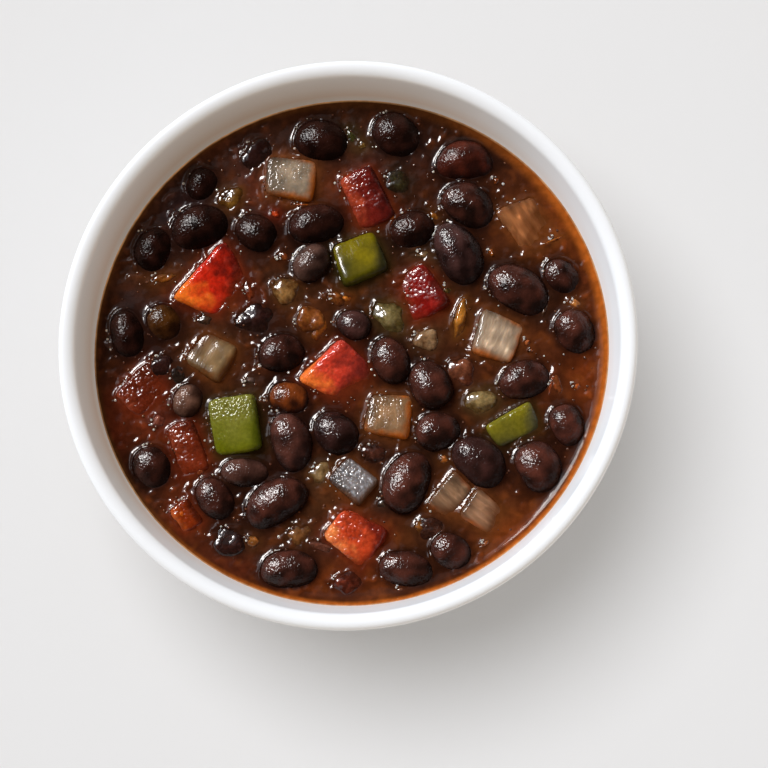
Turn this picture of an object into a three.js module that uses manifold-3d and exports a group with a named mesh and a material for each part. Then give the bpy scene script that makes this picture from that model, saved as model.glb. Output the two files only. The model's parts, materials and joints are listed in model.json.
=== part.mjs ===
// Bowl of black bean soup: a footed white bowl, the broth, and every bean and
// vegetable cube that stands out of it. Millimetres, +Z up. The origin is the
// centre of the foot's underside.

import * as THREE from 'three';
import { ConvexGeometry } from 'three/addons/geometries/ConvexGeometry.js';
import { mergeVertices } from 'three/addons/utils/BufferGeometryUtils.js';
import Module from 'manifold-3d';

const wasm = await Module();
wasm.setup();

// ---- Sizes ----------------------------------------------------------------

const BOWL = {
  lipInnerRadius: 61.5,
  lipInnerHeight: 55.0,
  floorHeight: 8.0,
  wallPower: 4.1,
  lipThickness: 3.4,
  baseThickness: 4.0,
  footOuterRadius: 29.0,
  footInnerRadius: 24.5,
  footRound: 0.8,
  sides: 60,
};

const SOUP = {
  level: 45.6,
  wallGap: 0.3,
  meniscusRise: 0.7,
  meniscusWidth: 1.6,
};

const POCKET_GAP = 0.38;
const POCKET_SIMPLER = 0.05;
const LONG_BEAN = { length: 10.5, around: 10, along: 6 };
const SHORT_BEAN = { around: 9, along: 5 };
const BEAN_FLATNESS = 0.76;
const BEAN_FULLNESS = 0.86;
const BEAN_TILT = THREE.MathUtils.degToRad(7);
const CUBE_JITTER = 0.07;
const CUBE_CHAMFER = 0.15;

const WHITE = '#f3f1ec';
const BROTH = '#3a1e12';
const BEAN = '#1d1213';
const ONION = '#b39a7a';
const TOMATO = '#b32a14';
const PEPPER = '#8a8a1c';

// Beans: centre x, y, long, wide, turn in degrees, rise of the top above the
// broth, bend of the long axis (positive bows towards the left of its turn).
const BEANS = [
  [-6.5, 49.0, 12.6, 10.0, -10, 2.3, 0.05],
  [11.0, 50.0, 11.8, 10.2, -40, 2.3, 0.0],
  [26.5, 43.3, 12.8, 9.4, 3, 2.4, 0.14],
  [27.5, 32.8, 12.6, 9.8, -37, 2.6, 0.05],
  [25.0, 21.6, 14.8, 9.8, -65, 3.1, 0.06],
  [14.5, 27.5, 10.4, 8.6, 15, 2.2, 0.0],
  [-7.5, 29.2, 12.4, 9.0, 10, 2.6, 0.05],
  [-21.6, 27.5, 9.8, 8.4, -32, 2.3, 0.0],
  [-34.6, 28.9, 13.2, 10.2, 18, 2.6, 0.04],
  [-34.2, 39.4, 8.8, 7.6, 62, 1.4, 0.0],
  [-45.2, 24.2, 10.8, 8.8, 72, 1.9, 0.05],
  [-51.0, 4.2, 11.4, 7.8, -76, 1.9, 0.0],
  [-8.6, 20.0, 9.2, 7.6, 50, 2.8, 0.0],
  [48.4, 16.0, 9.6, 8.4, -50, 1.4, 0.0],
  [38.6, 13.0, 14.4, 10.0, -33, 2.9, 0.05],
  [51.3, 3.0, 10.4, 8.8, -62, 2.5, 0.0],
  [39.7, -7.9, 11.4, 8.8, 18, 2.4, 0.04],
  [49.2, -18.4, 9.8, 7.8, -70, 2.1, 0.0],
  [42.6, -27.7, 12.0, 10.2, -62, 2.5, 0.04],
  [29.3, -26.5, 13.0, 10.0, -42, 2.8, 0.06],
  [18.4, -8.6, 11.4, 9.2, -60, 2.9, 0.0],
  [20.2, -19.4, 10.2, 8.6, 15, 2.7, 0.0],
  [9.5, -3.0, 10.8, 8.2, -66, 2.6, 0.0],
  [1.0, 5.4, 8.0, 6.8, -20, 2.1, 0.0],
  [-3.1, -19.4, 11.0, 9.4, -40, 2.3, 0.0],
  [-15.4, -1.0, 10.6, 8.6, 8, 2.4, 0.05],
  [-13.2, -21.6, 13.4, 8.8, -76, 2.8, 0.08],
  [13.2, -30.8, 14.4, 10.0, 68, 3.1, 0.05],
  [-16.6, -35.4, 15.0, 9.6, 32, 3.0, 0.1],
  [-30.5, -34.1, 10.2, 8.0, -54, 2.1, 0.0],
  [-44.7, -27.1, 10.6, 9.4, -58, 1.7, 0.0],
  [-23.4, -28.3, 10.8, 6.6, -4, 2.0, 0.0],
  [-13.6, -50.4, 12.8, 8.8, 3, 2.3, 0.06],
  [13.0, -50.6, 12.4, 8.4, -9, 2.0, 0.05],
  [22.9, -46.6, 9.8, 8.6, -30, 1.8, 0.0],
  [-42.4, 6.6, 10.2, 9.0, -60, 1.4, 0.0],
  [-36.8, -11.5, 8.2, 6.8, 68, 1.8, 0.0],
  [-13.9, -11.2, 9.4, 7.6, -10, 1.8, 0.0],
];

// Vegetable cubes: name, colour, centre x, y, long, wide, thick, turn, rise,
// lean about the long edge, pitch about the wide edge (all angles in degrees),
// then how much wider the far end is and how much longer the left side is.
const CUBES = [
  ['onion_1', ONION, -13.6, 39.7, 11.2, 9.2, 8.0, -8, 1.9, -8, 3, 0.04, 0.04],
  ['onion_2', ONION, -31.4, -1.5, 9.6, 9.4, 8.0, -33, 2.0, -6, -10, 0.0, -0.05],
  ['onion_3', ONION, 8.8, -16.0, 10.0, 9.4, 8.0, -8, 2.1, -9, -4, 0.04, -0.06],
  ['onion_4', ONION, 1.0, -30.5, 9.2, 7.4, 6.5, -40, 1.9, -6, -4, 0.04, 0.0],
  ['onion_5', ONION, 22.8, -33.8, 9.8, 6.2, 7.0, 52, 1.5, 6, -6, -0.04, 0.05],
  ['onion_6', ONION, 30.0, -37.9, 8.6, 7.8, 7.0, -35, 1.3, -4, 8, 0.0, 0.05],
  ['onion_7', ONION, 33.6, 1.8, 9.8, 10.0, 8.0, -20, 2.2, -7, 4, -0.04, 0.04],
  ['onion_8', ONION, 40.8, 28.0, 12.6, 9.2, 6.5, -60, 0.9, -4, 3, -0.05, -0.05],
  ['tomato_1', TOMATO, -31.2, 16.0, 14.8, 11.0, 8.5, 50, 2.8, 16, 4, -0.04, 0.24],
  ['tomato_2', TOMATO, 4.4, 35.4, 13.0, 8.4, 7.5, -66, 2.3, 8, 5, 0.1, 0.04],
  ['tomato_3', TOMATO, 16.8, 12.6, 11.6, 9.4, 8.0, -62, 2.2, 12, -5, 0.08, 0.0],
  ['tomato_4', TOMATO, -2.1, -5.5, 11.6, 12.0, 9.0, 52, 3.0, 16, -6, -0.16, 0.1],
  ['tomato_5', TOMATO, 1.4, -42.6, 12.2, 9.6, 8.0, -37, 3.0, 12, 8, 0.24, -0.08],
  ['tomato_6', TOMATO, -36.4, -22.4, 11.8, 6.8, 7.0, -72, 2.1, 12, 5, 0.1, 0.0],
  ['tomato_7', TOMATO, -47.6, -9.2, 10.4, 8.0, 6.0, 42, 1.1, 5, 5, 0.1, 0.05],
  ['tomato_8', TOMATO, -36.9, -37.8, 6.4, 5.0, 4.6, -56, 1.4, 8, 5, 0.08, 0.0],
  ['pepper_1', PEPPER, 2.2, 20.5, 10.4, 10.2, 7.5, 20, 2.2, -9, 3, 0.0, -0.04],
  ['pepper_2', PEPPER, -25.6, -17.2, 12.8, 10.4, 8.0, -80, 2.3, 7, 3, 0.0, 0.0],
  ['pepper_3', PEPPER, 36.9, -17.9, 11.0, 6.4, 6.5, 28, 2.0, 14, 4, 0.08, 0.06],
];

// Small or nearly sunk bits, low mounds of the broth's own solid: centre x, y,
// long, wide, turn in degrees, rise.
const MOUNDS = [
  [-21.4, 46.4, 8.0, 7.0, 60, 0.7],
  [11.4, 39.0, 7.6, 6.6, -30, 0.5],
  [-43.2, -3.1, 7.0, 5.8, 0, 0.9],
  [-21.2, 7.6, 9.0, 7.6, 20, 0.7],
  [5.6, -24.2, 7.2, 5.4, 0, 0.8],
  [18.2, -41.2, 7.0, 5.4, 0, 0.6],
  [-0.8, -53.4, 7.4, 6.0, 10, 0.9],
  [-27.0, -44.2, 9.0, 7.2, -10, 0.7],
  [-14.6, 13.8, 6.6, 6.0, -50, 1.2],
  [9.2, 7.4, 8.6, 6.8, -45, 1.2],
  [17.4, 2.0, 7.6, 6.6, -10, 1.1],
  [30.2, -12.4, 8.2, 6.2, 18, 1.3],
  [-6.4, -28.2, 6.2, 4.8, 30, 0.6],
  [-8.6, 6.6, 7.4, 6.6, -60, 1.2],
  [25.6, -5.8, 7.0, 6.2, -70, 1.1],
  [-11.6, -42.4, 6.6, 5.4, 20, 0.7],
  [-27.4, 35.4, 6.8, 5.6, 30, 0.7],
  [-2.8, 11.6, 5.2, 4.0, -20, 0.9],
  [25.4, 6.8, 9.6, 3.2, 76, 1.3],
  [46.8, -8.6, 6.6, 2.6, -72, 0.4],
];

// ---- Helpers ----------------------------------------------------------------

const radians = THREE.MathUtils.degToRad;

// Small repeatable random source, each draw between -1 and 1.
function randomSource(seed) {
  let state = seed >>> 0;
  return () => {
    state = (state + 0x6d2b79f5) >>> 0;
    let t = Math.imul(state ^ (state >>> 15), 1 | state);
    t = (t + Math.imul(t ^ (t >>> 7), 61 | t)) ^ t;
    return (((t ^ (t >>> 14)) >>> 0) / 2147483648) - 1;
  };
}

// Joins equal corners and drops triangles that have shrunk to a line.
function welded(geometry) {
  geometry.deleteAttribute('normal');
  geometry.deleteAttribute('uv');
  const joined = mergeVertices(geometry, 1e-4);
  const corners = joined.index.array;
  const kept = [];
  for (let i = 0; i < corners.length; i += 3) {
    const [a, b, c] = [corners[i], corners[i + 1], corners[i + 2]];
    if (a !== b && b !== c && c !== a) {
      kept.push(a, b, c);
    }
  }
  joined.setIndex(kept);
  return joined;
}

function toSolid(geometry) {
  const mesh = new wasm.Mesh({
    numProp: 3,
    vertProperties: new Float32Array(geometry.attributes.position.array),
    triVerts: new Uint32Array(geometry.index.array),
  });
  return new wasm.Manifold(mesh);
}

function toGeometry(solid) {
  const mesh = solid.getMesh();
  const geometry = new THREE.BufferGeometry();
  geometry.setAttribute('position', new THREE.BufferAttribute(mesh.vertProperties, 3));
  geometry.setIndex(new THREE.BufferAttribute(mesh.triVerts, 1));
  return geometry;
}

// Turns a closed profile of [radius, height] pairs round the upright axis.
function turned(profile, sides) {
  const points = profile.map(([radius, height]) => new THREE.Vector2(radius, height));
  const geometry = new THREE.LatheGeometry(points, sides);
  geometry.rotateX(Math.PI / 2);
  return welded(geometry);
}

function named(name, geometry, color) {
  geometry.computeVertexNormals();
  const mesh = new THREE.Mesh(geometry, new THREE.MeshStandardMaterial({ color }));
  mesh.name = name;
  return mesh;
}

// ---- Bowl and broth -----------------------------------------------------------

// Height of the inner wall at a radius.
function wallHeight(radius) {
  const climb = BOWL.lipInnerHeight - BOWL.floorHeight;
  return BOWL.floorHeight + climb * (radius / BOWL.lipInnerRadius) ** BOWL.wallPower;
}

function wallRadius(height) {
  const climb = BOWL.lipInnerHeight - BOWL.floorHeight;
  return BOWL.lipInnerRadius * ((height - BOWL.floorHeight) / climb) ** (1 / BOWL.wallPower);
}

// Direction at right angles to the inner wall, out of the bowl's hollow.
function wallNormal(radius) {
  const climb = BOWL.lipInnerHeight - BOWL.floorHeight;
  const share = radius / BOWL.lipInnerRadius;
  const slope = (climb * BOWL.wallPower * share ** (BOWL.wallPower - 1)) / BOWL.lipInnerRadius;
  const length = Math.hypot(slope, 1);
  return [slope / length, -1 / length];
}

// Wall point moved outwards: 0 stays on the inner face.
function wallPoint(radius, distance) {
  const [outX, outZ] = wallNormal(radius);
  return [radius + outX * distance, wallHeight(radius) + outZ * distance];
}

const INNER_RADII = [59.4, 56.4, 51.6, 44.0, 30.0];
const OUTER_RADII = [59.8, 57.2, 53.6, 48.8, 43.0, 37.0, 32.6];
const LIP_STEPS = 5;

function lipPoints() {
  const [outX, outZ] = wallNormal(BOWL.lipInnerRadius);
  const round = BOWL.lipThickness / 2;
  const middle = wallPoint(BOWL.lipInnerRadius, round);
  const points = [];
  for (let step = 0; step <= LIP_STEPS; step += 1) {
    const angle = Math.PI * (step / LIP_STEPS);
    const across = Math.cos(angle) * round;
    const up = Math.sin(angle) * round;
    points.push([
      middle[0] + outX * across - outZ * up,
      middle[1] + outZ * across + outX * up,
    ]);
  }
  return points;
}

function footPoints() {
  const { footOuterRadius, footInnerRadius, footRound, baseThickness } = BOWL;
  return [
    [footOuterRadius + 1.6, 5.2],
    [footOuterRadius, footRound],
    [footOuterRadius - footRound, 0],
    [footInnerRadius + footRound, 0],
    [footInnerRadius, footRound],
    [footInnerRadius - 1.2, baseThickness],
    [0, baseThickness],
  ];
}

function makeBowl() {
  const foot = footPoints().reverse();
  const outer = OUTER_RADII.map((radius) => wallPoint(radius, BOWL.lipThickness)).reverse();
  const inner = INNER_RADII.map((radius) => wallPoint(radius, 0));
  const profile = [...foot, ...outer, ...lipPoints(), ...inner, [0, BOWL.floorHeight]];
  return turned(profile, BOWL.sides);
}

function makeBroth() {
  const edgeHeight = SOUP.level + SOUP.meniscusRise;
  const edge = wallPoint(wallRadius(edgeHeight), -SOUP.wallGap);
  const below = INNER_RADII.slice(1).reverse();
  const under = below.map((radius) => wallPoint(radius, -SOUP.wallGap));
  const profile = [
    [0, BOWL.floorHeight + SOUP.wallGap],
    ...under,
    edge,
    [edge[0] - SOUP.meniscusWidth * 0.35, SOUP.level + SOUP.meniscusRise * 0.3],
    [edge[0] - SOUP.meniscusWidth, SOUP.level],
    [0, SOUP.level],
  ];
  return turned(profile, BOWL.sides);
}

// ---- Beans, cubes and mounds ----------------------------------------------------

// Sets a solid down in the broth: turned in plan, its top at the given rise.
function placed(geometry, x, y, turn, rise, grow) {
  geometry.rotateZ(radians(turn));
  geometry.computeBoundingBox();
  const top = geometry.boundingBox.max.z - grow;
  geometry.translate(x, y, SOUP.level + rise - top);
  return geometry;
}

function makeBean(index, grow) {
  const [x, y, long, wide, turn, rise, bend] = BEANS[index];
  const random = randomSource(100 + index);
  const egg = 0.07 * random();
  const pitch = BEAN_TILT * random();
  const { around, along: rings } = long > LONG_BEAN.length ? LONG_BEAN : SHORT_BEAN;
  const geometry = welded(new THREE.SphereGeometry(1, around, rings));
  geometry.rotateZ(Math.PI / 2);
  const spots = geometry.attributes.position;
  for (let i = 0; i < spots.count; i += 1) {
    const along = spots.getX(i);
    const radius = Math.hypot(spots.getY(i), spots.getZ(i));
    const fuller = radius < 1e-6 ? 0 : radius ** BEAN_FULLNESS / radius;
    const scale = fuller * (1 + egg * along);
    spots.setXYZ(
      i,
      along * (long / 2 + grow),
      spots.getY(i) * scale * (wide / 2 + grow) + bend * wide * (0.4 - along * along),
      spots.getZ(i) * scale * ((wide * BEAN_FLATNESS) / 2 + grow),
    );
  }
  geometry.rotateY(pitch);
  return placed(geometry, x, y, turn, rise, grow);
}

// The three corners that a chamfer leaves in place of one corner of a box.
function chamferedCorner(signs, half, jitter) {
  const cut = CUBE_CHAMFER * Math.min(...half);
  return [0, 1, 2].map((flat) => {
    const spot = signs.map((sign, axis) => {
      const reach = half[axis] - (axis === flat ? 0 : cut);
      return sign * reach + jitter[axis];
    });
    return new THREE.Vector3(...spot);
  });
}

function makeCube(index, grow) {
  const [, , x, y, long, wide, thick, turn, rise, lean, pitch, spread, flare] = CUBES[index];
  const random = randomSource(500 + index);
  const half = [long / 2 + grow, wide / 2 + grow, thick / 2 + grow];
  const corners = [];
  for (const signX of [-1, 1]) {
    for (const signY of [-1, 1]) {
      for (const signZ of [-1, 1]) {
        const jitter = [long, wide, thick].map((size) => (size / 2) * CUBE_JITTER * random());
        corners.push(...chamferedCorner([signX, signY, signZ], half, jitter));
      }
    }
  }
  for (const corner of corners) {
    const { x: along, y: across } = corner;
    corner.y *= 1 + (spread * along) / half[0];
    corner.x *= 1 + (flare * across) / half[1];
  }
  const geometry = welded(new ConvexGeometry(corners));
  geometry.rotateX(radians(lean));
  geometry.rotateY(radians(pitch));
  return placed(geometry, x, y, turn, rise, grow);
}

function makeMound([x, y, long, wide, turn, rise]) {
  const geometry = welded(new THREE.SphereGeometry(1, 8, 4));
  geometry.rotateX(Math.PI / 2);
  geometry.scale(long / 2, wide / 2, rise * 2);
  geometry.rotateZ(radians(turn));
  geometry.translate(x, y, SOUP.level - rise);
  return geometry;
}

function makeSoup() {
  let solid = toSolid(makeBroth());
  for (const mound of MOUNDS) {
    solid = solid.add(toSolid(makeMound(mound)));
  }
  for (const index of BEANS.keys()) {
    solid = solid.subtract(toSolid(makeBean(index, POCKET_GAP)));
  }
  for (const index of CUBES.keys()) {
    solid = solid.subtract(toSolid(makeCube(index, POCKET_GAP)));
  }
  return toGeometry(solid.simplify(POCKET_SIMPLER));
}

// ---- Assembly --------------------------------------------------------------------

const part = new THREE.Group();
part.name = 'bean_soup_bowl';
part.add(named('bowl', makeBowl(), WHITE));
part.add(named('soup', makeSoup(), BROTH));
for (const index of BEANS.keys()) {
  const name = `bean_${String(index + 1).padStart(2, '0')}`;
  part.add(named(name, makeBean(index, 0), BEAN));
}
for (const index of CUBES.keys()) {
  const [name, color] = CUBES[index];
  part.add(named(name, makeCube(index, 0), color));
}

export default part;
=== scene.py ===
"""Bowl of black bean soup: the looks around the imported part.

Places and sizes are in millimetres, in the part's own frame, and turn into
metres only where a mesh, a light or the camera is made.
"""

import json
import math

import bpy
import numpy as np
from mathutils import Matrix, Vector
from mathutils.bvhtree import BVHTree

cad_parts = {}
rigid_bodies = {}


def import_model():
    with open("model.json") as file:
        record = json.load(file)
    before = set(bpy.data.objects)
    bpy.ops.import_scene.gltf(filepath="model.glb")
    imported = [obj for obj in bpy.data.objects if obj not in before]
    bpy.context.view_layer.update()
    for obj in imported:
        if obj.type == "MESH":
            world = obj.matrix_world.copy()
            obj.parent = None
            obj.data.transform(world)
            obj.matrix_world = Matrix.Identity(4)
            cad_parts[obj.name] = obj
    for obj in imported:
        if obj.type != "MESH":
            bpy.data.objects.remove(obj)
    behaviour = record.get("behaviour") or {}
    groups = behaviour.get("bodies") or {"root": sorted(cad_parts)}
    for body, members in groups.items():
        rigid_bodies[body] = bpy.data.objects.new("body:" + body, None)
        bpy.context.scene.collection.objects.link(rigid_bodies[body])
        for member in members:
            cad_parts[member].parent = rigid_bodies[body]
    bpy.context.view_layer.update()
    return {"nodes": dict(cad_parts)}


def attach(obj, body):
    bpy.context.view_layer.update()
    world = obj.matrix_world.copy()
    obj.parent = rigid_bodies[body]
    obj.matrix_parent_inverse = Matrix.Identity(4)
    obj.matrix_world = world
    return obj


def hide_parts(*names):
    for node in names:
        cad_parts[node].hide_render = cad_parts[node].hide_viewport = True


MM = 0.001

# ---- Sizes shared with the solids ----

LEVEL = 45.6

LIP_INNER_RADIUS = 61.5
LIP_INNER_HEIGHT = 55.0
FLOOR_HEIGHT = 8.0
WALL_POWER = 4.1
WALL_THICKNESS = 3.4
FOOT_OUTER_RADIUS = 29.0
FOOT_INNER_RADIUS = 24.5
FOOT_ROUND = 0.8
BASE_THICKNESS = 4.0

# ---- Colours, matched to the photograph, as 0 to 255 ----

GLAZE = (243, 243, 244)
GLAZE_FILM_AND_BOUNCE = (214, 160, 104)
BROTH_DARK = (43, 23, 14)
BROTH_PULP = (122, 60, 22)
BROTH_RED = (80, 37, 16)
# The dark edge tint is painted shade, for the broth's edge on the shaded side of the wall.
BROTH_EDGE_SHADE = (64, 36, 16)
BROTH_EDGE = (174, 88, 28)
BROTH_RIM = (196, 150, 104)
BEAN_DARK = (29, 15, 11)
BEAN_LIT = (82, 42, 32)
FLOOR_PALE = (232, 232, 232)


# ---- Small numeric helpers ----


def linear(colour):
    """Linear RGB of a colour given as 0 to 255 display values."""
    share = np.asarray(colour, float) / 255.0
    return np.where(share <= 0.04045, share / 12.92, ((share + 0.055) / 1.055) ** 2.4)


def mixed(first, second, share):
    """Blend of two colours or colour arrays, by a share or an array of shares."""
    share = np.clip(np.asarray(share, float), 0, 1)[..., None]
    return np.asarray(first) * (1 - share) + np.asarray(second) * share


def smooth_step(low, high, values):
    share = np.clip((values - low) / (high - low), 0, 1)
    return share * share * (3 - 2 * share)


def lattice_hash(cell, seed):
    """Three repeatable numbers between -1 and 1 for each lattice cell."""
    x, y, z = (cell[:, axis].astype(np.uint64) for axis in range(3))
    mixed_bits = x * np.uint64(73856093) ^ y * np.uint64(19349663) ^ z * np.uint64(83492791)
    mixed_bits ^= np.uint64(seed * 2654435761 % 2**32)
    mixed_bits ^= mixed_bits >> np.uint64(13)
    mixed_bits *= np.uint64(0x5BD1E9955BD1E995)
    mixed_bits ^= mixed_bits >> np.uint64(29)
    shifts = (np.uint64(0), np.uint64(16), np.uint64(32))
    parts = [(mixed_bits >> shift) & np.uint64(0xFFFF) for shift in shifts]
    return np.stack(parts, 1).astype(float) / 32767.5 - 1.0


def noise(points, size, seed):
    """Smooth noise between about -1 and 1, with lumps of the given size."""
    spots = np.atleast_2d(points) / size + 1000.0
    cell = np.floor(spots).astype(np.int64)
    local = spots - cell
    ease = local**3 * (local * (local * 6 - 15) + 10)
    total = np.zeros(len(spots))
    for corner in np.ndindex(2, 2, 2):
        slope = lattice_hash(cell + corner, seed)
        rise = (slope * (local - corner)).sum(1)
        weight = np.prod(np.where(corner, ease, 1 - ease), axis=1)
        total += weight * rise
    return total * 1.5


def layered_noise(points, size, seed, layers=3):
    total = np.zeros(len(points))
    for layer in range(layers):
        total += noise(points, size / 2**layer, seed + layer) / 2**layer
    return total / (2 - 2.0 ** (1 - layers))


def turn_matrix(degrees):
    c, s = math.cos(math.radians(degrees)), math.sin(math.radians(degrees))
    return np.array([[c, -s, 0], [s, c, 0], [0, 0, 1.0]])


# ---- Meshes ----


def make_object(name, points, faces, material, colours=None, local=None, sparkle=1.0):
    """A smooth mesh from points in millimetres and faces of three or four corners."""
    mesh = bpy.data.meshes.new(name)
    mesh.vertices.add(len(points))
    mesh.vertices.foreach_set("co", (np.asarray(points) * MM).astype(np.float32).ravel())
    counts = np.array([len(face) for face in faces], np.int32)
    corners = np.concatenate([np.asarray(face, np.int32) for face in faces])
    mesh.loops.add(len(corners))
    mesh.loops.foreach_set("vertex_index", corners)
    mesh.polygons.add(len(counts))
    mesh.polygons.foreach_set("loop_start", np.concatenate([[0], np.cumsum(counts)[:-1]]))
    mesh.polygons.foreach_set("use_smooth", np.ones(len(counts), bool))
    if colours is not None:
        tint = mesh.color_attributes.new("tint", "FLOAT_COLOR", "POINT")
        rgba = np.column_stack([colours, np.broadcast_to(sparkle, len(points))])
        tint.data.foreach_set("color", rgba.astype(np.float32).ravel())
    if local is not None:
        spot = mesh.attributes.new("local", "FLOAT_VECTOR", "POINT")
        spot.data.foreach_set("vector", np.asarray(local).astype(np.float32).ravel())
    mesh.update(calc_edges=True)
    mesh.validate()
    mesh.materials.append(material)
    piece = bpy.data.objects.new(name, mesh)
    bpy.context.scene.collection.objects.link(piece)
    return piece


def cube_ball(cells):
    """Unit directions and quads of a cube puffed up to a ball, cells on an edge."""
    steps = np.tan(np.linspace(-1, 1, cells + 1) * math.pi / 4)
    u, v = np.meshgrid(steps, steps, indexing="ij")
    one = np.ones_like(u)
    sides = [(u, v, one), (v, u, -one), (one, u, v), (-one, v, u), (v, one, u), (u, -one, v)]
    spots = np.concatenate([np.stack(side, -1).reshape(-1, 3) for side in sides])
    index = np.arange((cells + 1) ** 2).reshape(cells + 1, cells + 1)
    quad = np.stack([index[:-1, :-1], index[1:, :-1], index[1:, 1:], index[:-1, 1:]], -1)
    quad = quad.reshape(-1, 4)
    quads = np.concatenate([quad + side * (cells + 1) ** 2 for side in range(6)])
    _, first, back = np.unique(
        np.round(spots, 6), axis=0, return_index=True, return_inverse=True
    )
    points = spots[first]
    points /= np.linalg.norm(points, axis=1, keepdims=True)
    return points, back.ravel()[quads]


def vertex_normals(points, quads):
    """Outward unit normals of a closed quad mesh."""
    a, b, c, d = (points[quads[:, corner]] for corner in range(4))
    face = np.cross(c - a, d - b)
    normals = np.zeros_like(points)
    for corner in range(4):
        np.add.at(normals, quads[:, corner], face)
    return normals / np.linalg.norm(normals, axis=1, keepdims=True)


def node_points(node):
    """Corners of a CAD node, in millimetres."""
    mesh = node.data
    flat = np.zeros(len(mesh.vertices) * 3, np.float32)
    mesh.vertices.foreach_get("co", flat)
    spots = flat.reshape(-1, 3).astype(float) / MM
    return np.unique(np.round(spots, 4), axis=0)


# ---- Materials ----


class Shader:
    """A Principled material with its node tree, built up step by step."""

    def __init__(self, name):
        self.material = bpy.data.materials.new(name)
        self.material.use_nodes = True
        self.tree = self.material.node_tree
        self.surface = self.tree.nodes["Principled BSDF"]

    def set(self, **values):
        for socket, value in values.items():
            self.surface.inputs[socket.replace("_", " ")].default_value = value

    def node(self, kind, settings=None, **inputs):
        made = self.tree.nodes.new("ShaderNode" + kind)
        for key, value in (settings or {}).items():
            setattr(made, key, value)
        for socket, value in inputs.items():
            self.connect(made.inputs[socket.replace("_", " ")], value)
        return made

    def connect(self, socket, value):
        if isinstance(value, bpy.types.NodeSocket):
            self.tree.links.new(value, socket)
        else:
            socket.default_value = value

    def attribute(self, name, output):
        return self.node("Attribute", {"attribute_name": name}).outputs[output]

    def noise(self, place, scale, detail=2.0):
        made = self.node("TexNoise", Vector=place, Scale=scale, Detail=detail)
        return made.outputs["Fac"]

    def domes(self, place, scale):
        """Height of rounded cells packed side by side, highest at their middles."""
        smooth = {"feature": "SMOOTH_F1"}
        made = self.node("TexVoronoi", smooth, Vector=place, Scale=scale, Smoothness=0.25)
        away = made.outputs["Distance"]
        return self.math("SUBTRACT", 1.0, self.math("MULTIPLY", away, away))

    def ramp(self, value, low, high, bottom=0.0, top=1.0):
        made = self.node("MapRange", {"interpolation_type": "SMOOTHSTEP"}, Value=value)
        sockets = ("From Min", "From Max", "To Min", "To Max")
        for socket, limit in zip(sockets, (low, high, bottom, top)):
            made.inputs[socket].default_value = limit
        return made.outputs["Result"]

    def math(self, operation, first, second):
        made = self.node("Math", {"operation": operation})
        self.connect(made.inputs[0], first)
        self.connect(made.inputs[1], second)
        return made.outputs["Value"]

    def mix(self, share, first, second, blend="MIX"):
        made = self.node("Mix", {"data_type": "RGBA", "blend_type": blend})
        self.connect(made.inputs[0], share)
        self.connect(made.inputs[6], first)
        self.connect(made.inputs[7], second)
        return made.outputs[2]

    def sparkle(self):
        """How strongly a spot glitters, kept beside its tint."""
        return self.attribute("tint", "Alpha")

    def colour(self, value):
        self.connect(self.surface.inputs["Base Color"], value)

    def grained(self, scale, detail, low, high, dark, light):
        """Tint of the mesh with a fine grain; gives the spots' places."""
        place = self.attribute("local", "Vector")
        tint = self.attribute("tint", "Color")
        shade = self.ramp(self.noise(place, scale, detail), low, high, dark, light)
        self.colour(self.mix(1.0, tint, shade, "MULTIPLY"))
        return place

    def specular(self, level):
        self.connect(self.surface.inputs["Specular IOR Level"], level)

    def bump(self, height, distance, strength=1.0):
        made = self.node("Bump", Height=height, Distance=distance * MM, Strength=strength)
        self.connect(self.surface.inputs["Normal"], made.outputs["Normal"])


def glaze_material():
    shader = Shader("glaze")
    shader.colour(shader.attribute("tint", "Color"))
    shader.set(Roughness=0.22)
    shader.specular(0.35)
    return shader.material


def broth_material():
    shader = Shader("broth")
    place = shader.grained(0.6, 4.0, 0.3, 0.7, 0.82, 1.2)
    shader.set(Roughness=0.08, IOR=1.36)
    shader.specular(shader.ramp(shader.sparkle(), 0.0, 0.1, 0.12, 0.45))
    shader.bump(shader.noise(place, 0.9), 0.07, shader.sparkle())
    return shader.material


def bean_material():
    shader = Shader("bean_skin")
    place = shader.grained(0.5, 3.0, 0.3, 0.7, 0.8, 1.2)
    shader.set(Roughness=0.07, IOR=1.42)
    shader.specular(shader.math("MULTIPLY", 0.6, shader.sparkle()))
    shader.bump(shader.noise(place, 1.6), 0.22)
    return shader.material


# Soft things: scale of the grain, its dark and light ends, scale and depth of the
# rounded cells, roughness, and how much light passes below the surface.
FLESH = {
    "onion": (0.8, (0.9, 1.1), 1.4, 0.3, 0.08, 0.4),
    "tomato": (1.2, (0.88, 1.15), 1.2, 0.32, 0.08, 0.25),
    "green_pepper": (1.2, (0.88, 1.12), 1.5, 0.32, 0.1, 0.2),
    "soft_bits": (1.4, (0.75, 1.25), 0.9, 0.09, 0.08, 0.4),
    "froth": (2.0, (0.8, 1.2), 2.0, 0.02, 0.08, 0.3),
}


def flesh_material(name):
    """Wet flesh, tinted by its mesh, that lets some light in and has rounded cells."""
    grain_scale, grain_range, cell_scale, cell_depth, roughness, depth = FLESH[name]
    shader = Shader(name)
    place = shader.grained(grain_scale, 3.0, 0.32, 0.68, *grain_range)
    shader.set(Roughness=roughness, IOR=1.42, Subsurface_Weight=depth)
    shader.set(Subsurface_Radius=(1.0, 0.55, 0.35), Subsurface_Scale=1.2 * MM)
    shader.specular(shader.ramp(shader.sparkle(), 0.0, 1.0, 0.3, 0.6))
    shader.bump(shader.domes(place, cell_scale), cell_depth, shader.sparkle())
    return shader.material


def floor_material():
    shader = Shader("floor")
    shader.set(Base_Color=(*linear(FLOOR_PALE), 1.0), Roughness=0.9)
    shader.specular(0.0)
    return shader.material


# ---- Bowl ----


def wall_height(radius):
    climb = LIP_INNER_HEIGHT - FLOOR_HEIGHT
    return FLOOR_HEIGHT + climb * (radius / LIP_INNER_RADIUS) ** WALL_POWER


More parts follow.
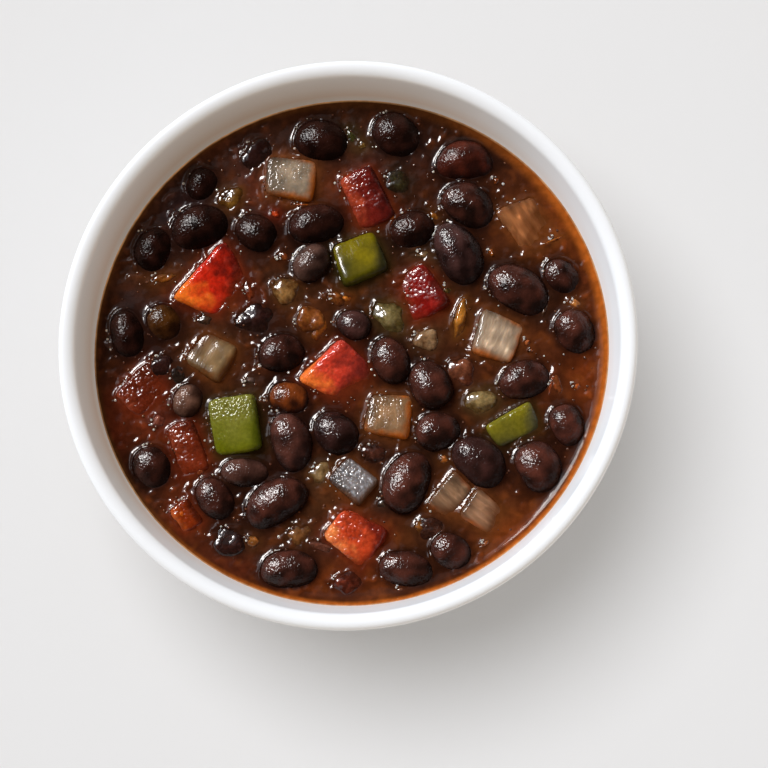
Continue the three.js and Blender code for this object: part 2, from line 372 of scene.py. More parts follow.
def wall_radius(height):
    climb = LIP_INNER_HEIGHT - FLOOR_HEIGHT
    return LIP_INNER_RADIUS * ((height - FLOOR_HEIGHT) / climb) ** (1 / WALL_POWER)


# Sides of the photo in plan, and the soup's radius.
UPPER_LEFT = (-0.77, 0.64)
UPPER_RIGHT = (0.77, 0.64)
LOWER_RIGHT = (0.8, -0.6)
SOUP_RADIUS = 58.0


def toward(x, y, side):
    """How far spots lie towards a side, as a share of the soup's radius."""
    return (side[0] * x + side[1] * y) / SOUP_RADIUS


def wall_point(radius, distance):
    """Point of the inner wall moved outwards, square to the wall."""
    climb = LIP_INNER_HEIGHT - FLOOR_HEIGHT
    share = radius / LIP_INNER_RADIUS
    slope = climb * WALL_POWER * share ** (WALL_POWER - 1) / LIP_INNER_RADIUS
    length = math.hypot(slope, 1)
    return radius + distance * slope / length, wall_height(radius) - distance / length


def arc(centre, radius, start, stop, steps):
    angles = np.radians(np.linspace(start, stop, steps))
    return [(centre[0] + radius * math.cos(a), centre[1] + radius * math.sin(a)) for a in angles]


# How much further out the crest of the lip lies than the solid's.
LIP_LEAN = 0.7
# Where the foot's outer side bends into the wall, and the wall's radius above that.
FOOT_BEND = (29.6, 4.6)
FOOT_TOP_RADIUS = 32.6
RECESS_ROUND = 1.4
RECESS_INSET = 1.6
CORNER_POINTS = 6
LIP_POINTS = 18
BOWL_SIDES = 200


def bowl_profile():
    """Closed half-section of the bowl from the axis under the base to the axis inside."""
    in_middle = (FOOT_INNER_RADIUS + FOOT_ROUND, FOOT_ROUND)
    out_middle = (FOOT_OUTER_RADIUS - FOOT_ROUND, FOOT_ROUND)
    foot_in = arc(in_middle, FOOT_ROUND, 180, 270, CORNER_POINTS)
    foot_out = arc(out_middle, FOOT_ROUND, -90, 0, CORNER_POINTS)
    recess = (FOOT_INNER_RADIUS - RECESS_INSET, BASE_THICKNESS - RECESS_ROUND)
    under = [(0, BASE_THICKNESS), (recess[0] - FOOT_ROUND, BASE_THICKNESS)]
    under += arc(recess, RECESS_ROUND, 90, 20, CORNER_POINTS)
    outer_start = wall_point(FOOT_TOP_RADIUS, WALL_THICKNESS)
    steps = np.linspace(0, 1, 10)[1:-1, None]
    curve = (1 - steps) ** 2 * np.array(foot_out[-1])
    curve = curve + 2 * steps * (1 - steps) * np.array(FOOT_BEND)
    curve = curve + steps**2 * np.array(outer_start)
    outer = [wall_point(r, WALL_THICKNESS) for r in np.linspace(FOOT_TOP_RADIUS, 61.3, 40)]
    middle = wall_point(LIP_INNER_RADIUS, WALL_THICKNESS / 2)
    outer_edge = wall_point(LIP_INNER_RADIUS, WALL_THICKNESS)
    lean = math.degrees(math.atan2(outer_edge[1] - middle[1], outer_edge[0] - middle[0]))
    lip = np.array(arc(middle, WALL_THICKNESS / 2, lean, lean + 180, LIP_POINTS))
    lip[:, 0] += LIP_LEAN * np.sin(np.linspace(0, math.pi, LIP_POINTS))
    inner = [wall_point(r, 0) for r in np.linspace(61.2, 1.0, 60)]
    bent = [tuple(p) for p in curve] + outer + [tuple(p) for p in lip]
    return under + foot_in + foot_out + bent + inner + [(0, FLOOR_HEIGHT)]


def lathe(profile, sides):
    """Points and faces of a profile turned round the upright axis, ends on the axis."""
    angles = np.linspace(0, 2 * math.pi, sides, endpoint=False)
    rings = np.array(profile[1:-1])
    points = np.empty((len(rings), sides, 3))
    points[..., 0] = rings[:, 0, None] * np.cos(angles)
    points[..., 1] = rings[:, 0, None] * np.sin(angles)
    points[..., 2] = rings[:, 1, None]
    count = len(rings) * sides
    ends = [(0, 0, profile[0][1]), (0, 0, profile[-1][1])]
    spots = np.concatenate([points.reshape(-1, 3), ends])
    here = np.arange(count - sides)
    beside = here // sides * sides + (here + 1) % sides
    quads = np.stack([here, beside, beside + sides, here + sides], 1)
    first, last = np.arange(sides), np.arange(sides) + count - sides
    after = (first + 1) % sides
    low_fan = np.stack([np.full(sides, count), after, first], 1)
    high_fan = np.stack([np.full(sides, count + 1), last, after + count - sides], 1)
    return spots, [*quads, *low_fan, *high_fan]


def glaze_tints(points):
    """White glaze, warmed on the wall just above the broth: its film, and painted bounce light."""
    x, y, height = points.T
    inside = np.hypot(x, y) < wall_radius(np.maximum(height, LEVEL)) + 0.2
    above = np.clip(height - LEVEL - climb_at_wall(x, y), 0, None)
    # Painted light in part: on the shaded upper left the warm tint is stronger and reaches higher,
    # for light bounced off the broth.
    bounce_side = smooth_step(-0.4, 0.6, toward(x, y, UPPER_LEFT))
    share = inside * (height > LEVEL) * np.exp(-above / (1.6 + 2.4 * bounce_side)) * (0.25 + 0.45 * bounce_side)
    return mixed(linear(GLAZE), linear(GLAZE_FILM_AND_BOUNCE), share)


def make_bowl(material):
    points, faces = lathe(bowl_profile(), BOWL_SIDES)
    bowl = make_object("bowl_glazed", points, faces, material, glaze_tints(points))
    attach(bowl, "root")
    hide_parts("bowl")


# ---- Pieces and the broth beside them ----


class Piece:
    """One thing in the soup: its surface, and how it stains and lifts the broth beside it (beside
    beans, the stain is partly painted shade).
    """

    def __init__(self, points, quads, stain_and_shade, reach):
        self.low = points.min(0)
        self.high = points.max(0)
        self.stain_and_shade = linear(stain_and_shade)
        self.reach = reach
        self.outline = points[np.abs(points[:, 2] - LEVEL - 0.2) < 0.3][:, :2]
        self.middle = (self.low + self.high)[:2] / 2
        self.tree = BVHTree.FromPolygons(points.tolist(), quads.tolist())

    def nearest(self, spots):
        """Distance from each spot to the surface, and how steep the surface is there."""
        hits = [self.tree.find_nearest(spot) for spot in spots.tolist()]
        upright = np.array([hit[1].z for hit in hits])
        return np.array([hit[3] for hit in hits]), np.sqrt(np.clip(1 - upright**2, 0, 1))


def sparkled(around, places, strength, seed):
    """Wet glitter of a piece: strongest on its upper left, in patches."""
    outward = around[:, :2] / np.abs(around[:, :2]).max(0)
    upper_left = (outward[:, 1] - outward[:, 0]) / 2 + 0.4 * noise(places, 2.6, seed)
    return strength * (0.25 + 0.75 * smooth_step(-0.7, 0.3, upper_left))


def soaked(colours, height, stain_and_shade, depth):
    """Tints that fade into the broth towards and below its surface."""
    film = np.exp(-np.clip(height - LEVEL - 0.15, 0, None) / depth)
    return mixed(colours, linear(stain_and_shade), 0.85 * film)


# ---- Beans ----


def own_frame(points):
    """Centre and axes of a bean's corners, long axis first and the flat way last."""
    centre = (points.max(0) + points.min(0)) / 2
    spread = points - points.mean(0)
    _, axes = np.linalg.eigh(spread.T @ spread)
    axes = axes[:, ::-1].T
    if axes[2, 2] < 0:
        axes[2] *= -1
    axes[1] = np.cross(axes[2], axes[0])
    return centre, axes


def powers(directions):
    """Products of the direction's parts up to the fourth degree, one column each."""
    columns = []
    for a, b, c in np.ndindex(5, 5, 5):
        if a + b + c <= 4:
            columns.append(directions[:, 0] ** a * directions[:, 1] ** b * directions[:, 2] ** c)
    return np.stack(columns, 1)


def rounded_form(points, axes, centre, ball):
    """Smooth closed form through a bean's corners, sampled along the ball's directions."""
    local = (points - centre) @ axes.T
    half = np.abs(local).max(0)
    scaled = local / half
    radii = np.linalg.norm(scaled, axis=1)
    basis = powers(scaled / radii[:, None])
    steady = 1e-3 * np.eye(basis.shape[1])
    weights = np.linalg.solve(basis.T @ basis + steady, basis.T @ radii)
    return ball * (powers(ball) @ weights)[:, None] * half


def painted_bean_light(centre):
    """Painted shade and light, as a share of a bean's tint: less at the upper left, under the wall.
    """
    side = (centre[0] - centre[1]) / 70.0
    return math.exp(side) if side < 0 else 1 + 0.35 * side


# Beans that aren't plain black: base tint, painted lit-side tint, and how much they glitter.
BEAN_TINTS = {
    3: ((44, 18, 13), (104, 44, 29), 0.7),
    5: ((28, 15, 13), (76, 48, 44), 1.0),
    6: ((26, 12, 8), (66, 33, 24), 0.6),
    13: ((44, 28, 23), (112, 78, 66), 1.0),
    20: ((26, 14, 11), (58, 33, 29), 0.6),
    24: ((32, 18, 15), (82, 50, 45), 0.9),
    25: ((24, 12, 9), (60, 35, 31), 0.9),
    27: ((36, 20, 17), (92, 52, 42), 0.9),
    32: ((36, 20, 15), (98, 62, 52), 0.9),
    36: ((58, 29, 9), (136, 80, 30), 0.9),
    37: ((64, 38, 28), (150, 106, 86), 1.0),
    38: ((52, 22, 10), (150, 72, 28), 0.9),
}
# Near-black that beans give their own lower sides and the broth beside them: partly broth film and
# stain, partly painted shade between and around the beans.
BEAN_STAIN_AND_SHADE = (24, 11, 8)
BEAN_STAIN_AND_SHADE_REACH = 1.7
BEAN_CELLS = 26
BEAN_SWELL = 1.05
CREASE_STRETCH = np.array([1.0, 0.5, 0.5])
CREASE_DEPTH = 0.2
# Direction of the side that beans are painted lighter on, as if lit.
LIT_SIDE = np.array([-0.62, 0.62, 0.48])


def make_bean(node, number, ball, quads, material):
    points = node_points(node)
    centre, axes = own_frame(points)
    local = rounded_form(points, axes, centre, ball) * (BEAN_SWELL, BEAN_SWELL, 1)
    normals = vertex_normals(local, quads)
    seed = 40 + number * 7
    shift = np.array([number * 31.0, 0, 0])
    lumps = 0.14 * noise(local + shift, 4.2, seed)
    creased = np.abs(noise(local * CREASE_STRETCH + shift, 1.25, seed + 1))
    patch = smooth_step(-0.25, 0.35, noise(local + shift, 4.5, seed + 3))
    lumps += CREASE_DEPTH * (0.35 + 0.65 * patch) * (creased - 0.3)
    local += normals * lumps[:, None]
    spots = local @ axes + centre
    base, glow, wet = BEAN_TINTS.get(number, (BEAN_DARK, BEAN_LIT, 0.85))
    # Painted light and shade: the side facing the lamp takes the lighter tint, and the whole tint
    # is darker at the upper left, in the wall's shadow; the noise is the skin's own mottling.
    share = 0.05 + 0.8 * (normals @ axes) @ LIT_SIDE + 0.7 * noise(local + shift, 2.8, seed + 2)
    colours = mixed(linear(base), linear(glow), share) * painted_bean_light(centre)
    # The tint fades to near-black towards the broth: partly the broth film on the bean, partly
    # painted shade on its sloping sides.
    colours = soaked(colours, spots[:, 2], BEAN_STAIN_AND_SHADE, 0.9)
    wet *= min(painted_bean_light(centre), 1)
    sparkle = sparkled(local @ axes, local + shift, wet, seed + 4)
    bean = make_object(f"{node.name}_skin", spots, quads, material, colours, local + shift, sparkle)
    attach(bean, "root")
    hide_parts(node.name)
    return Piece(spots, quads, BEAN_STAIN_AND_SHADE, BEAN_STAIN_AND_SHADE_REACH)


def make_beans(nodes):
    ball, quads = cube_ball(BEAN_CELLS)
    material = bean_material()
    names = sorted(name for name in nodes if name.startswith("bean_"))
    made = []
    for name in names:
        number = int(name.split("_")[1])
        made.append(make_bean(nodes[name], number, ball, quads, material))
    return made


# ---- Vegetable cubes ----


def flat_sides(node):
    """Outward normal, area and a corner of each flat side of a convex node."""
    sides = []
    for face in node.data.polygons:
        normal = np.array(face.normal)
        corner = np.array(node.data.vertices[face.vertices[0]].co) / MM
        for side in sides:
            if side[0] @ normal > 0.999:
                side[1] += face.area / MM**2
                break
        else:
            sides.append([normal, face.area / MM**2, corner])
    return sides


def cube_frame(sides):
    """Axes of a cube: its up side last, and the broadest side beside it first."""
    up = max(sides, key=lambda side: side[0][2] * side[1])[0]
    beside = [side for side in sides if abs(side[0] @ up) < 0.5]
    first = max(beside, key=lambda side: side[1] * (1.2 + side[0][0]))[0]
    second = np.cross(up, first)
    second /= np.linalg.norm(second)
    return np.array([np.cross(second, up), second, up])


EDGE_SHARPNESS = 20
CUBE_SWELL = 1.06
CUBE_CELLS = 26
CUBE_STAIN_REACH = 1.1
ONION_STAIN = (92, 48, 20)
TOMATO_STAIN = (98, 34, 14)
PEPPER_STAIN = (44, 36, 12)


def make_cube(node, number, ball, quads, material, paint, slot, stain_and_shade):
    sides = flat_sides(node)
    centre = node_points(node).mean(0)
    axes = cube_frame(sides)
    normals = np.array([side[0] for side in sides])
    reach = np.array([side[0] @ (side[2] - centre) for side in sides])
    facing = np.clip(ball @ axes @ normals.T, 0, None) / reach
    radii = (facing**EDGE_SHARPNESS).sum(1) ** (-1 / EDGE_SHARPNESS)
    local = ball * radii[:, None] * (CUBE_SWELL, CUBE_SWELL, 1)
    out = vertex_normals(local, quads)
    shift = np.array([number * 37.0, 0, 0])
    colours, relief, stretch, wet, depth = paint(local, local @ axes, shift, number)
    local += out * relief[:, None]
    spots = local @ axes + centre
    colours = soaked(colours, spots[:, 2], stain_and_shade, depth)
    sparkle = sparkled(local @ axes, local + shift, wet, 800 + number)
    places = local * stretch + shift
    cube = make_object(f"{node.name}_flesh", spots, quads, material, colours, places, sparkle)
    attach(cube, "root")
    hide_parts(node.name)
    return Piece(spots, quads, stain_and_shade, CUBE_STAIN_REACH)


# Onion cubes: body tint, edge tint, how strongly the fibres show, how dark the left
# side is and how much it glitters.
ONION_TINTS = {
    1: ((136, 118, 98), (160, 84, 24), 0.3, 0.45, 0.5),
    2: ((124, 98, 66), (104, 60, 26), 0.45, 0.3, 0.1),
    3: ((132, 100, 70), (170, 88, 28), 0.3, 0.3, 0.4),
    4: ((118, 110, 108), (96, 64, 44), 0.2, 0.4, 1.0),
    5: ((126, 96, 72), (124, 60, 24), 1.0, 0.2, 0.3),
    6: ((142, 106, 80), (180, 90, 30), 0.8, 0.3, 0.3),
    7: ((164, 140, 116), (166, 90, 38), 0.9, 0.2, 0.3),
    8: ((158, 100, 60), (150, 68, 20), 1.2, -0.3, 0.12),
}
ONION_BROWN = (66, 40, 24)
ONION_PAINTED_GLINT = (206, 204, 208)
FIBRE_STRETCH = np.array([1.0, 0.22, 0.5])


def paint_onion(local, around, shift, number):
    """Pale fibrous flesh, clear and browned towards its lower and right edges."""
    body, edge, strength, shade, wet = ONION_TINTS[number]
    seed = 300 + number
    fibres = noise(local * FIBRE_STRETCH + shift, 1.0, seed)
    half = np.abs(local).max(0)
    nearest = np.abs(local / half)[:, :2].max(1)
    outward = around[:, :2] / np.abs(around[:, :2]).max(0)
    low_side = np.maximum(-outward[:, 1], 0.9 * outward[:, 0])
    ragged = nearest + 0.1 * noise(local + shift, 1.6, seed + 9)
    low_side = smooth_step(-0.1, 0.6, low_side)
    rim = smooth_step(0.6, 0.98, ragged) * (0.55 + 0.5 * low_side)
    left = shade * smooth_step(0.1, -0.8, outward[:, 0])
    cloud = 1 + 0.5 * noise(local + shift, 3.0, seed + 3) - left
    colours = linear(body) * (cloud * (0.72 + 0.6 * smooth_step(0.95, 0.1, nearest)))[:, None]
    seam = smooth_step(0.08, 0.0, np.abs(noise(local * FIBRE_STRETCH + shift, 2.4, seed + 13)))
    colours *= (1 + 0.3 * seam)[:, None]
    # Painted highlights: white specks on the glittering onions stand for glints on their wet cells.
    painted_glints = smooth_step(0.1, 0.45, noise(local + shift, 0.8, seed + 12))
    painted_glints *= 1.2 * (wet - 0.5) * smooth_step(0.95, 0.5, nearest)
    colours = mixed(colours, linear(ONION_PAINTED_GLINT), painted_glints)
    colours = mixed(colours, mixed(linear(ONION_BROWN), linear(edge), low_side), rim)
    colours *= (1 + strength * 0.4 * fibres)[:, None]
    pale = smooth_step(0.25, 0.6, noise(local * (1, 0.5, 1) + shift, 1.1, seed + 7))
    colours = mixed(colours, colours * 1.5, strength * pale)
    relief = 0.04 * strength * fibres + 0.14 * noise(local + shift, 3.0, seed + 5)
    stretch = FIBRE_STRETCH * 1.6 if strength > 0.4 else np.ones(3)
    return np.clip(colours, 0.002, 1), relief, stretch, wet, 0.35


# Tomato pieces: lit tint, middle tint, deep tint, how much each glitters and how deep
# the broth's stain reaches.
TOMATO_TINTS = {
    1: ((240, 116, 36), (204, 40, 20), (88, 18, 14), 0.6, 0.5),
    2: ((166, 66, 38), (104, 27, 20), (60, 17, 14), 0.65, 0.35),
    3: ((160, 44, 36), (128, 18, 16), (78, 24, 18), 0.4, 0.5),
    4: ((240, 118, 48), (208, 64, 44), (114, 36, 30), 0.7, 0.35),
    5: ((240, 136, 72), (200, 70, 34), (112, 32, 20), 1.0, 0.4),
    6: ((166, 78, 48), (116, 42, 20), (66, 24, 14), 0.7, 0.8),
    7: ((150, 66, 38), (96, 34, 18), (58, 24, 14), 0.9, 0.7),
    8: ((190, 88, 26), (132, 46, 12), (70, 24, 10), 0.6, 0.5),
}


def paint_tomato(local, around, shift, number):
    """Wet flesh, brightest at its lit lower left and deep towards its right."""
    *tints, wet, depth = TOMATO_TINTS[number]
    lit, middle, deep = (linear(tint) for tint in tints)
    seed = 500 + number
    across = (around @ np.array([-0.9, -0.35, 0.0])) / np.abs(around[:, :2]).max()
    share = across + 0.55 * layered_noise(local + shift, 5.0, seed)
    share += 0.25 * noise(local + shift, 1.7, seed + 8)
    colours = mixed(middle, deep, smooth_step(0.1, -0.6, share))
    colours = mixed(colours, lit, smooth_step(0.1, 0.8, share))
    pale = smooth_step(0.2, 0.6, noise(local + shift, 1.8, seed + 7))
    colours = mixed(colours, colours * 1.3 + (0.02, 0.008, 0.005), pale)
    dark = smooth_step(0.2, 0.6, noise(local + shift, 2.4, seed + 6))
    colours = mixed(colours, colours * (0.7, 0.55, 0.5), 1.2 * (wet - 0.5) * dark)
    relief = 0.26 * noise(local + shift, 3.0, seed + 4)
    relief += 0.4 * max(depth - 0.5, 0) * noise(local + shift, 2.0, seed + 9)
    relief += (0.05 + 0.2 * max(wet - 0.5, 0)) * noise(local + shift, 1.4, seed + 5)
    return np.clip(colours, 0.002, 1), relief, np.ones(3), wet, depth


# Pepper cubes: upper tint, lower tint, the tint of the side facing right, and the glitter.
PEPPER_TINTS = {
    1: ((126, 110, 2), (54, 52, 14), (44, 40, 20), 0.12),
    2: ((122, 118, 46), (98, 100, 12), (64, 68, 10), 0.9),
    3: ((136, 124, 22), (76, 72, 34), (78, 74, 52), 0.6),
}


def paint_pepper(local, around, shift, number):
    """Waxy skin that darkens downwards, with a different side to the right."""
    *tints, wet = PEPPER_TINTS[number]
    upper, lower, side = (linear(tint) for tint in tints)
    seed = 700 + number
    half = np.abs(around).max(0)
    down = 0.4 - 0.6 * around[:, 1] / half[1] + 0.4 * noise(local + shift, 4.0, seed)
    ragged = around[:, 0] / half[0] + 0.1 * noise(local + shift, 2.0, seed + 3)
    right = smooth_step(0.35, 0.8, ragged)
    colours = mixed(mixed(upper, lower, down), side, right)
    relief = 0.1 * noise(local + shift, 3.5, seed + 2)
    wet = wet * (0.15 + 0.85 * smooth_step(-0.1, 0.5, around[:, 1] / half[1]))
    return np.clip(colours, 0.002, 1), relief, np.ones(3), wet, 0.35


def make_cubes(nodes):
    ball, quads = cube_ball(CUBE_CELLS)
    kinds = {
        "onion": (flesh_material("onion"), paint_onion, "onion", ONION_STAIN),
        "tomato": (flesh_material("tomato"), paint_tomato, "tomato", TOMATO_STAIN),
        "pepper": (flesh_material("green_pepper"), paint_pepper, "green_pepper", PEPPER_STAIN),
    }
    made = []
    for name in sorted(nodes):
        kind = name.split("_")[0]
        if kind in kinds:
            number = int(name.split("_")[1])
            made.append(make_cube(nodes[name], number, ball, quads, *kinds[kind]))
    return made


# ---- Camera, and places in the photo ----

# The camera is fitted to the bowl in the photo. Pixels are read at one height of the soup.
CAMERA_AIM = (0.0, 0.0, 50.0)
CAMERA_DISTANCE = 650.0
CAMERA_TILT = 12.28
CAMERA_SIDE = 20.9
CAMERA_ZOOM = 2875.9
PICTURE_SIZE = 768
PICTURE_SHIFT = (36.3, -39.3)
READ_HEIGHT = 46.0
PIXELS_PER_MM = 4.36


def camera_back():
    """Unit vector towards the camera from what it aims at."""
    tilt, side = math.radians(CAMERA_TILT), math.radians(CAMERA_SIDE)
    return np.array(
        [math.sin(tilt) * math.sin(side), -math.sin(tilt) * math.cos(side), math.cos(tilt)]
    )


def photo_spot(px, py):
    """Place on the soup that a pixel of the photo shows, to a tenth of a millimetre."""
    back = camera_back()
    right = np.cross([0, 1, 0], back)
    right /= np.linalg.norm(right)
    across = (px - PICTURE_SIZE / 2 + PICTURE_SHIFT[0]) / CAMERA_ZOOM
    upward = (PICTURE_SIZE / 2 + PICTURE_SHIFT[1] - py) / CAMERA_ZOOM
    ray = right * across + np.cross(back, right) * upward - back
    eye = np.array(CAMERA_AIM) + back * CAMERA_DISTANCE
    spot = eye + ray * (READ_HEIGHT - eye[2]) / ray[2]
    return [round(value, 1) for value in spot[:2].tolist()]


def in_millimetres(rows, digits):
    """Rows that start with pixel x, y, length and width, with those in millimetres."""
    made = []
    for px, py, long, wide, *rest in rows:
        sizes = [round(pixels / PIXELS_PER_MM, digits) for pixels in (long, wide)]
        made.append((*photo_spot(px, py), *sizes, *rest))
    return made


# ---- Small and nearly sunk bits ----

BIT_CELLS = 13
BIT_STAIN_REACH = 0.8
DARK_TINTS = ((30, 17, 15), (54, 28, 24))
BEIGE_TINTS = ((100, 70, 36), (164, 132, 88))
BROWN_TINTS = ((88, 42, 16), (156, 88, 36))
# Bits that the soup's solid has as low mounds: centre x, y, long, wide, turn in
# degrees, rise of the top above the broth, tint and lighter tint.
SUNK_BITS = [
    (-21.4, 46.4, 8.0, 7.0, 60, 0.7, DARK_TINTS),
    (11.4, 39.0, 7.6, 6.6, -30, 0.5, ((34, 26, 16), (56, 50, 26))),
    (-43.2, -3.1, 7.0, 5.8, 0, 0.9, DARK_TINTS),
    (-21.2, 7.6, 9.0, 7.6, 20, 0.7, DARK_TINTS),
    (5.6, -24.2, 7.2, 5.4, 0, 0.8, ((46, 24, 18), (84, 44, 32))),
    (18.2, -41.2, 7.0, 5.4, 0, 0.6, ((46, 24, 18), (76, 42, 30))),
    (-0.8, -53.4, 7.4, 6.0, 10, 0.9, ((70, 26, 16), (118, 50, 32))),
    (-27.0, -44.2, 9.0, 7.2, -10, 0.7, DARK_TINTS),
    (-14.6, 13.8, 6.6, 6.0, -50, 1.2, ((96, 58, 22), (156, 114, 64))),
    (9.2, 7.4, 8.6, 6.8, -45, 1.2, ((84, 70, 30), (150, 132, 86))),
    (17.4, 2.0, 7.6, 6.6, -10, 1.1, ((104, 68, 38), (168, 134, 98))),
    (30.2, -12.4, 8.2, 6.2, 18, 1.3, ((104, 80, 40), (154, 130, 84))),
    (-6.4, -28.2, 6.2, 4.8, 30, 0.6, BEIGE_TINTS),
    (-8.6, 6.6, 7.4, 6.6, -60, 1.2, BROWN_TINTS),
    (25.6, -5.8, 7.0, 6.2, -70, 1.1, ((84, 40, 24), (138, 80, 54))),
    (-11.6, -42.4, 6.6, 5.4, 20, 0.7, ((92, 52, 22), (146, 96, 52))),
    (-27.4, 35.4, 6.8, 5.6, 30, 0.7, ((86, 50, 14), (134, 94, 34))),
    (-2.8, 11.6, 5.2, 4.0, -20, 0.9, BROWN_TINTS),
    (25.4, 6.8, 9.6, 3.2, 76, 1.3, ((130, 74, 20), (200, 130, 48))),
    (46.8, -8.6, 6.6, 2.6, -72, 0.4, ((106, 48, 20), (150, 78, 38))),
]
# Crumbs and flecks: pixel x and y, long and wide in pixels, then as above.
CRUMBS = [
    (163, 278, 30, 11, 15, 0.35, ((96, 48, 12), (150, 84, 24))),
    (275, 214, 9, 8, 0, 0.7, ((150, 36, 14), (214, 80, 30))),
    (283, 256, 13, 11, 0, 0.5, ((84, 36, 14), (128, 60, 24))),
    (249, 291, 26, 12, -80, 0.4, ((96, 34, 16), (140, 60, 28))),
    (352, 137, 26, 13, -70, 0.45, ((48, 46, 20), (78, 76, 30))),
    (362, 145, 10, 9, 0, 0.5, ((96, 66, 26), (128, 94, 40))),
    (391, 215, 17, 10, -70, 0.6, ((140, 62, 20), (184, 96, 32))),
    (434, 216, 15, 9, -70, 0.4, ((120, 66, 20), (168, 104, 34))),
    (422, 255, 20, 9, 0, 0.4, ((96, 70, 42), (140, 108, 70))),
    (346, 298, 13, 9, -10, 0.8, ((170, 82, 20), (224, 132, 44))),
    (491, 252, 9, 6, 90, 0.6, ((120, 56, 18), (170, 90, 30))),
    (496, 181, 9, 9, 0, 0.5, ((96, 42, 16), (130, 64, 24))),
    (575, 303, 13, 10, -20, 0.7, ((150, 80, 32), (200, 128, 62))),
    (545, 306, 26, 7, 75, 0.5, ((80, 52, 36), (110, 78, 56))),
    (553, 240, 30, 4, 25, 0.5, ((150, 76, 22), (196, 112, 40))),
    (262, 366, 16, 12, 20, 0.4, ((104, 48, 22), (146, 74, 34))),
    (266, 399, 10, 9, 0, 0.6, ((110, 60, 36), (160, 110, 80))),
    (249, 380, 14, 10, 20, 0.7, ((70, 48, 40), (120, 96, 88))),
    (318, 328, 28, 16, 70, 0.8, ((110, 54, 16), (160, 88, 30))),
    (527, 342, 8, 6, 90, 0.6, ((140, 66, 24), (200, 110, 56))),
    (531, 350, 5, 5, 0, 0.5, ((140, 66, 24), (190, 100, 50))),
    (551, 384, 28, 5, 75, 0.5, ((130, 54, 20), (180, 84, 36))),
    (577, 386, 9, 9, 0, 0.5, ((130, 54, 16), (190, 96, 34))),
    (184, 516, 20, 17, -40, 0.9, ((160, 62, 14), (210, 96, 26))),
    (252, 541, 15, 13, 0, 0.6, ((110, 60, 22), (166, 104, 46))),
    (321, 546, 30, 9, -20, 0.5, ((84, 44, 32), (118, 68, 50))),
    (386, 500, 24, 18, 30, 0.5, ((52, 38, 30), (86, 70, 58))),
    (420, 527, 16, 14, -30, 0.6, ((104, 56, 20), (150, 94, 42))),
    (444, 459, 9, 9, 0, 0.6, ((130, 70, 22), (190, 110, 44))),
    (484, 545, 18, 7, 30, 0.4, ((120, 60, 22), (166, 92, 40))),
    (158, 420, 18, 15, 20, 0.7, ((110, 46, 32), (160, 96, 76))),
    (178, 374, 26, 17, -70, 0.5, ((30, 22, 18), (46, 34, 26))),
    (303, 205, 34, 6, -5, 0.5, ((130, 56, 12), (196, 94, 22))),
    (400, 590, 14, 8, 10, 0.4, ((90, 44, 24), (120, 70, 44))),
    (205, 320, 18, 14, 0, 0.4, ((52, 34, 24), (84, 58, 42))),
    (200, 470, 14, 12, 50, 0.5, ((104, 40, 20), (150, 72, 36))),
    (447, 290, 10, 8, 0, 0.4, ((70, 52, 20), (104, 82, 34))),
]


def make_bits():
    """All the small bits, as one piece."""
    ball, quads = cube_ball(BIT_CELLS)
    arrays = [[], [], [], []]
    pieces = []
    rows = SUNK_BITS + in_millimetres(CRUMBS, 1)
    for number, (x, y, long, wide, turn, rise, (base, glow)) in enumerate(rows):
        seed = 900 + 11 * number
        shift = np.array([0, number * 29.0, 0])
        half = np.array([long / 2, wide / 2, rise + 0.5])
        swell = 1 + 0.26 * noise(ball * 2 + shift, 1.6, seed)
        swell += 0.04 * noise(ball * 2 + shift, 0.6, seed + 1)
        local = ball * half * swell[:, None]
        crest = np.clip(local[:, 2] / local[:, 2].max(), 0, 1)
        places = local + shift
        blotch = 0.6 * noise(places, 2.2, seed + 2) + 0.7 * noise(places, 1.1, seed + 3)
        share = crest**2 - 0.1 + blotch
        spots = local @ turn_matrix(turn).T
        spots += np.array([x, y, LEVEL + rise - local[:, 2].max()])
        colours = mixed(linear(base), linear(glow), share)
        stain_and_shade = tuple((np.array(base) + BROTH_DARK) / 2)
        colours = soaked(colours, spots[:, 2], stain_and_shade, 0.65 * rise)
        pieces.append(Piece(spots, quads, stain_and_shade, BIT_STAIN_REACH))
        for array, part in zip(arrays, (spots, quads + len(ball) * number, colours, places)):
            array.append(part)
    points, faces, tints, places = (np.concatenate(array) for array in arrays)
    material = flesh_material("soft_bits")
    bits = make_object("soft_bits", points, faces, material, tints, places)
    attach(bits, "root")
    return pieces


# ---- Broth ----

RING_COUNT = 178
RIM_CROWDING = 0.5
WALL_CLIMB = 1.15
WALL_CLIMB_LEAN = 0.85
WALL_REACH = 1.25
CLING_CLIMB = 0.6
CLING_REACH = 0.44
SIDE_RADII = (56.5, 50.0, 34.0)
CLOT_GAIN = (1.8, 1.7, 1.6)
CLOT_HEIGHT = 0.27
SWELL_HEIGHT = 0.1
RIPPLE_HEIGHT = 0.07
STAIN_AND_SHADE_MARGIN = 4.0
WALL_OVERLAP = 0.2
